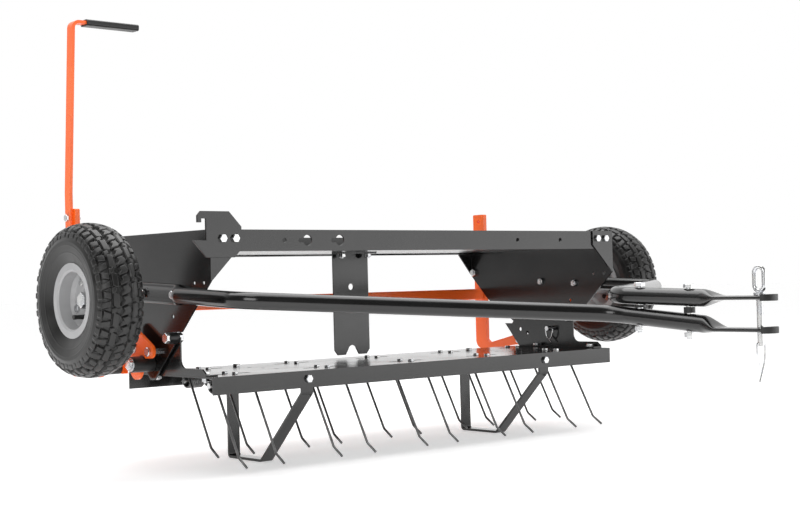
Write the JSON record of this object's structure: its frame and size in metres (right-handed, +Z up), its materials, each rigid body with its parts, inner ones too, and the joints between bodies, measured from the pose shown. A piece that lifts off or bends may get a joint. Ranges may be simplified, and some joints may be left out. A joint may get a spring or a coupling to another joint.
{
  "type": "lawn dethatcher",
  "caption": "Tow-behind dethatcher: weight deck between side plates, sprung wire tines under a slotted tray, wheels on a lever-raised lift frame and a forked drawbar.",
  "frame": {"origin": "on the ground under the parking stands, midway across the wheels and midway along the machine", "axes": "+Z up, -Y towards the hitch, +X to the right-hand wheel when seen from behind the hitch looking to the rear, the lever side is -X"},
  "size_m": [1.3802, 1.2014, 0.829],
  "materials": {
    "black_paint": "satin black powder coat",
    "orange_paint": "semi-gloss orange powder coat",
    "rim_paint": "light grey enamel",
    "zinc": "bright zinc plate",
    "spring_steel": "oil-tempered spring wire",
    "tyre": "moulded rubber tread",
    "rubber": "moulded rubber",
    "vinyl": "dipped vinyl",
    "black_plastic": "moulded nylon"
  },
  "bodies": {
    "platform": {"side_plate_left": "black_paint", "side_plate_right": "black_paint", "front_bar": "black_paint", "rear_bar": "black_paint", "deck_plate": "black_paint", "hook_bracket": "black_paint", "center_bracket": "black_paint", "drawbar_lower": "black_paint", "drawbar_upper": "black_paint", "tray": "black_paint", "tray_bracket_left": "black_paint", "tray_bracket_right": "black_paint", "stand_left": "black_paint", "stand_right": "black_paint", "clevis_caps": "vinyl", "frame_bolts": "zinc", "frame_nuts": "zinc", "frame_washers": "zinc", "tray_bolts": "zinc", "tray_nuts": "zinc", "tine_rods": "zinc", "tine_clamps": "zinc", "frame_sleeves": "black_plastic", "hook_plates": "orange_paint"},
    "lift_frame": {"lift_arm_left": "orange_paint", "lift_arm_right": "orange_paint", "lift_crossbar": "orange_paint", "wheel_carrier_left": "orange_paint", "wheel_carrier_right": "orange_paint", "lift_lever": "orange_paint", "lever_grip": "vinyl", "lift_bolts": "zinc", "lift_nuts": "zinc", "lift_sleeves": "black_plastic"},
    "wheel_left": {"rim_left": "rim_paint", "rim_bolts_left": "zinc", "tyre_left": "tyre", "valve_left": "rubber"},
    "wheel_right": {"rim_right": "rim_paint", "rim_bolts_right": "zinc", "tyre_right": "tyre", "valve_right": "rubber"},
    "hitch_pin": {"hitch_pin": "zinc"},
    "hitch_clip": {"hitch_clip": "zinc"},
    "latch_left": {"latch_pin_left": "zinc"},
    "latch_clip_left": {"latch_clip_left": "zinc"},
    "latch_right": {"latch_pin_right": "zinc"},
    "latch_clip_right": {"latch_clip_right": "zinc"},
    "tine_front_1": {"tine_front_1": "spring_steel"},
    "tine_front_2": {"tine_front_2": "spring_steel"},
    "tine_front_3": {"tine_front_3": "spring_steel"},
    "tine_front_4": {"tine_front_4": "spring_steel"},
    "tine_front_5": {"tine_front_5": "spring_steel"},
    "tine_rear_1": {"tine_rear_1": "spring_steel"},
    "tine_rear_2": {"tine_rear_2": "spring_steel"},
    "tine_rear_3": {"tine_rear_3": "spring_steel"},
    "tine_rear_4": {"tine_rear_4": "spring_steel"},
    "tine_rear_5": {"tine_rear_5": "spring_steel"}
  },
  "joints": [
    {"name": "lift_pivot", "type": "hinge", "parent": "platform", "child": "lift_frame", "pos_m": [0, 0.5757, 0.338], "axis": [1, 0, 0], "range_deg": [0, 60]},
    {"name": "wheel_spin_left", "type": "hinge", "parent": "lift_frame", "child": "wheel_left", "pos_m": [-0.6475, 0.3043, 0.3043], "axis": [1, 0, 0], "continuous": true},
    {"name": "wheel_spin_right", "type": "hinge", "parent": "lift_frame", "child": "wheel_right", "pos_m": [0.6475, 0.3043, 0.3043], "axis": [1, 0, 0], "continuous": true},
    {"name": "hitch_pin_lift", "type": "slide", "parent": "platform", "child": "hitch_pin", "axis": [0, 0, 1], "range_m": [0, 0.014]},
    {"name": "hitch_clip_swing", "type": "hinge", "parent": "hitch_pin", "child": "hitch_clip", "pos_m": [0, -0.5727, 0.216], "axis": [1, 0, 0], "range_deg": [-60, 60]},
    {"name": "latch_pull_left", "type": "slide", "parent": "platform", "child": "latch_left", "axis": [-1, 0, 0], "range_m": [0, 0.0065]},
    {"name": "latch_pull_right", "type": "slide", "parent": "platform", "child": "latch_right", "axis": [1, 0, 0], "range_m": [0, 0.0065]},
    {"name": "latch_clip_swing_left", "type": "hinge", "parent": "latch_left", "child": "latch_clip_left", "pos_m": [-0.4837, 0.3263, 0.211], "axis": [0, 1, 0], "range_deg": [-60, 0]},
    {"name": "latch_clip_swing_right", "type": "hinge", "parent": "latch_right", "child": "latch_clip_right", "pos_m": [0.4837, 0.3263, 0.211], "axis": [0, 1, 0], "range_deg": [0, 60]},
    {"name": "tine_front_1_flex", "type": "hinge", "parent": "platform", "child": "tine_front_1", "pos_m": [-0.425, 0.2203, 0.152], "axis": [1, 0, 0], "range_deg": [-10, 20], "stiffness_Nm_per_rad": 18},
    {"name": "tine_front_2_flex", "type": "hinge", "parent": "platform", "child": "tine_front_2", "pos_m": [-0.225, 0.2203, 0.152], "axis": [1, 0, 0], "range_deg": [-10, 20], "stiffness_Nm_per_rad": 18},
    {"name": "tine_front_3_flex", "type": "hinge", "parent": "platform", "child": "tine_front_3", "pos_m": [-0.025, 0.2203, 0.152], "axis": [1, 0, 0], "range_deg": [-10, 20], "stiffness_Nm_per_rad": 18},
    {"name": "tine_front_4_flex", "type": "hinge", "parent": "platform", "child": "tine_front_4", "pos_m": [0.175, 0.2203, 0.152], "axis": [1, 0, 0], "range_deg": [-10, 20], "stiffness_Nm_per_rad": 18},
    {"name": "tine_front_5_flex", "type": "hinge", "parent": "platform", "child": "tine_front_5", "pos_m": [0.375, 0.2203, 0.152], "axis": [1, 0, 0], "range_deg": [-10, 20], "stiffness_Nm_per_rad": 18},
    {"name": "tine_rear_1_flex", "type": "hinge", "parent": "platform", "child": "tine_rear_1", "pos_m": [-0.375, 0.3823, 0.152], "axis": [1, 0, 0], "range_deg": [-10, 20], "stiffness_Nm_per_rad": 18},
    {"name": "tine_rear_2_flex", "type": "hinge", "parent": "platform", "child": "tine_rear_2", "pos_m": [-0.175, 0.3823, 0.152], "axis": [1, 0, 0], "range_deg": [-10, 20], "stiffness_Nm_per_rad": 18},
    {"name": "tine_rear_3_flex", "type": "hinge", "parent": "platform", "child": "tine_rear_3", "pos_m": [0.025, 0.3823, 0.152], "axis": [1, 0, 0], "range_deg": [-10, 20], "stiffness_Nm_per_rad": 18},
    {"name": "tine_rear_4_flex", "type": "hinge", "parent": "platform", "child": "tine_rear_4", "pos_m": [0.225, 0.3823, 0.152], "axis": [1, 0, 0], "range_deg": [-10, 20], "stiffness_Nm_per_rad": 18},
    {"name": "tine_rear_5_flex", "type": "hinge", "parent": "platform", "child": "tine_rear_5", "pos_m": [0.425, 0.3823, 0.152], "axis": [1, 0, 0], "range_deg": [-10, 20], "stiffness_Nm_per_rad": 18}
  ]
}
